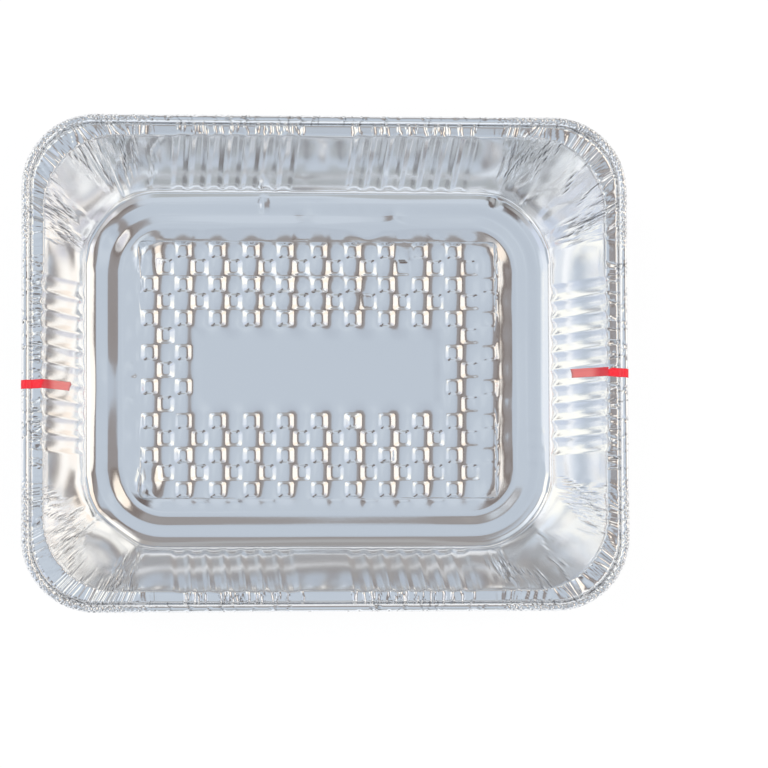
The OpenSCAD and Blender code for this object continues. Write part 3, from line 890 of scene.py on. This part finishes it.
studio = {
    "zenith": (0.545, 0.605, 0.68), "ceilingEdge": (50, 64),
    "around": (0.50, 0.50, 0.51),
    # soft boxes and dark places: azimuth and its half width, zenith angle and its half width,
    # softness, all in degrees, and colour
    "patches": (
        (45, 70, 15, 5, 8, (0.50, 0.555, 0.63)),
        (-135, 70, 8, 5, 8, (0.60, 0.66, 0.73)),
        (-90, 50, 31, 8, 6, (0.61, 0.67, 0.745)),
        (-90, 50, 49, 11, 3, (0.455, 0.475, 0.485)),
        (-90, 50, 76, 14, 5, (0.95, 1.00, 1.06)),
        (-113, 16, 49, 15, 5, (0.26, 0.26, 0.265)),
        (-66, 12, 51, 13, 6, (0.64, 0.70, 0.775)),
        (-46, 14, 48, 12, 6, (0.52, 0.51, 0.52)),
        (-137, 22, 46, 12, 8, (0.47, 0.475, 0.48)),
        (90, 55, 32, 8, 3, (0.33, 0.31, 0.305)),
        (90, 55, 48, 8, 3, (0.42, 0.425, 0.435)),
        (90, 55, 60, 7, 5, (0.34, 0.33, 0.325)),
        (90, 55, 78, 12, 4, (1.00, 1.00, 1.00)),
        (-118, 12, 31, 9, 4, (0.16, 0.13, 0.12)),
        (113, 14, 43, 12, 7, (0.66, 0.72, 0.78)),
        (67, 14, 46, 10, 8, (0.42, 0.39, 0.37)),
        (136, 14, 42, 13, 6, (0.95, 1.00, 1.06)),
        (45, 20, 43, 7, 6, (0.60, 0.585, 0.58)),
        (45, 16, 57, 13, 4, (1.20, 1.16, 1.08)),
        (180, 50, 72, 12, 6, (1.15, 1.15, 1.15)),
        (203, 16, 48, 17, 5, (0.68, 0.74, 0.85)),
        (157, 16, 48, 17, 5, (1.22, 1.19, 1.08)),
        (180, 9, 30, 4, 4, (0.76, 0.82, 0.90)),
        (180, 9, 45, 12, 3, (0.84, 0.885, 0.95)),
        (0, 60, 25, 6, 3, (0.31, 0.285, 0.28)),
        (0, 60, 31.5, 3, 2, (0.20, 0.165, 0.15)),
        (0, 40, 55, 20.5, 2, (1.25, 1.20, 1.12)),
        (-24, 18, 56, 19, 5, (0.71, 0.695, 0.75)),
        (28, 13, 44, 9.5, 3, (1.15, 1.00, 0.85)),
        (-46, 20, 48, 13, 6, (0.48, 0.475, 0.485)),
        (2, 9, 44, 9, 3, (1.18, 1.09, 0.99)),
        (-45, 16, 61, 10, 4, (1.20, 1.19, 1.15)),
        (-20, 11, 50, 6, 2, (1.20, 1.20, 1.18)),
        # narrow dark and light places near the horizon, which only creases and folds mirror
        (-118, 13, 78, 9, 5, (0.06, 0.06, 0.07)),
        (-62, 12, 78, 9, 5, (0.10, 0.10, 0.11)),
        (62, 12, 78, 9, 5, (0.06, 0.055, 0.05)),
        (122, 12, 78, 9, 5, (0.08, 0.08, 0.08)),
        (-20, 9, 80, 8, 5, (0.12, 0.11, 0.10)),
        (28, 9, 80, 8, 5, (0.10, 0.09, 0.08)),
        (162, 8, 80, 8, 5, (0.12, 0.12, 0.12)),
        (-160, 9, 80, 8, 5, (0.10, 0.10, 0.11)),
    ),
}
fillLamps = {"right": (0.9, -0.5, 1.5), "left": (-0.9, 0.5, 1.5), "size": 1.2, "power": 17}


# Soft lamps that light the matt surfaces to a plain level; the foil mirrors the studio alone.
def addFill(name, place, setting):
    data = bpy.data.lights.new(name, "AREA")
    data.size = setting["size"]
    data.energy = setting["power"]
    lamp = bpy.data.objects.new(name, data)
    bpy.context.collection.objects.link(lamp)
    lamp.location = place
    lamp.rotation_euler = Vector(place).to_track_quat("Z", "Y").to_euler()
    lamp.visible_glossy = False


addFill("rightFill", fillLamps["right"], fillLamps)
addFill("leftFill", fillLamps["left"], fillLamps)


# The world of the studio. A direction has its azimuth from +X to the left and its zenith angle, both in
# degrees. The ceiling turns into the surroundings over its edge, each patch is blended over that, in
# their order, and the camera itself sees plain white.
def makeWorld(s):
    world = bpy.data.worlds.new("studio")
    bpy.context.scene.world = world
    world.use_nodes = True
    nodes = world.node_tree.nodes
    direction = addNode(nodes, "TexCoord")["Generated"]
    part = addNode(nodes, "SeparateXYZ", {"Vector": direction})

    def calculate(operation, *values):
        return addNode(nodes, "Math", dict(enumerate(values)), operation=operation)[0]

    azimuth = calculate("DEGREES", calculate("ARCTAN2", part["Y"], part["X"]))
    zenith = calculate("DEGREES", calculate("ARCCOSINE", part["Z"]))
    ceiling = addStep(nodes, zenith, *s["ceilingEdge"])
    colour = blend(nodes, ceiling, (*s["zenith"], 1), (*s["around"], 1))
    for middle, halfWide, height, halfHigh, soft, patch in s["patches"]:
        aside = calculate("ABSOLUTE", calculate("WRAP", calculate("SUBTRACT", azimuth, middle), -180, 180))
        wide = addStep(nodes, aside, halfWide - soft, halfWide + soft, 1.0, 0.0)
        away = calculate("ABSOLUTE", calculate("SUBTRACT", zenith, height))
        inner, outer = max(halfHigh - soft / 2, 0), halfHigh + soft / 2
        high = addStep(nodes, away, inner, outer, 1.0, 0.0)
        colour = blend(nodes, calculate("MULTIPLY", wide, high), colour, (*patch, 1))
    feed(nodes["Background"], {"Color": colour})
    mix = {
        "Fac": addNode(nodes, "LightPath")["Is Camera Ray"],
        1: nodes["Background"].outputs["Background"],
        2: addNode(nodes, "Background", {"Color": (1, 1, 1, 1)})["Background"],
    }
    feed(nodes["World Output"], {"Surface": addNode(nodes, "MixShader", mix)["Shader"]})


makeWorld(studio)


table = {"colour": (0.95, 0.95, 0.95, 1), "roughness": 0.8, "shine": 0.9, "halfSize": 3000.0}


# The table is a plain pale square. The camera and the foil see it mostly as an even white, and it keeps
# a part of the pan's shadow.
def makeTable(t):
    material, nodes = newMaterial("table")
    shader = nodes["Principled BSDF"]
    feed(shader, {"Base Color": t["colour"], "Roughness": t["roughness"]})
    ray = addNode(nodes, "LightPath")
    rays = {0: ray["Is Camera Ray"], 1: ray["Is Glossy Ray"]}
    seen = addNode(nodes, "Math", rays, operation="MAXIMUM")[0]
    mix = {
        "Fac": addNode(nodes, "Math", {0: seen, 1: t["shine"]}, operation="MULTIPLY")[0],
        1: shader.outputs["BSDF"],
        2: addNode(nodes, "Emission", {"Color": (1, 1, 1, 1)})["Emission"],
    }
    feed(nodes["Material Output"], {"Surface": addNode(nodes, "MixShader", mix)["Shader"]})
    half = t["halfSize"]
    corners = np.array([[-half, -half, 0], [half, -half, 0], [half, half, 0], [-half, half, 0]])
    makePiece("table", corners, np.array([[0, 1, 2, 3]]), material)


makeTable(table)
print("stage: light and background set")
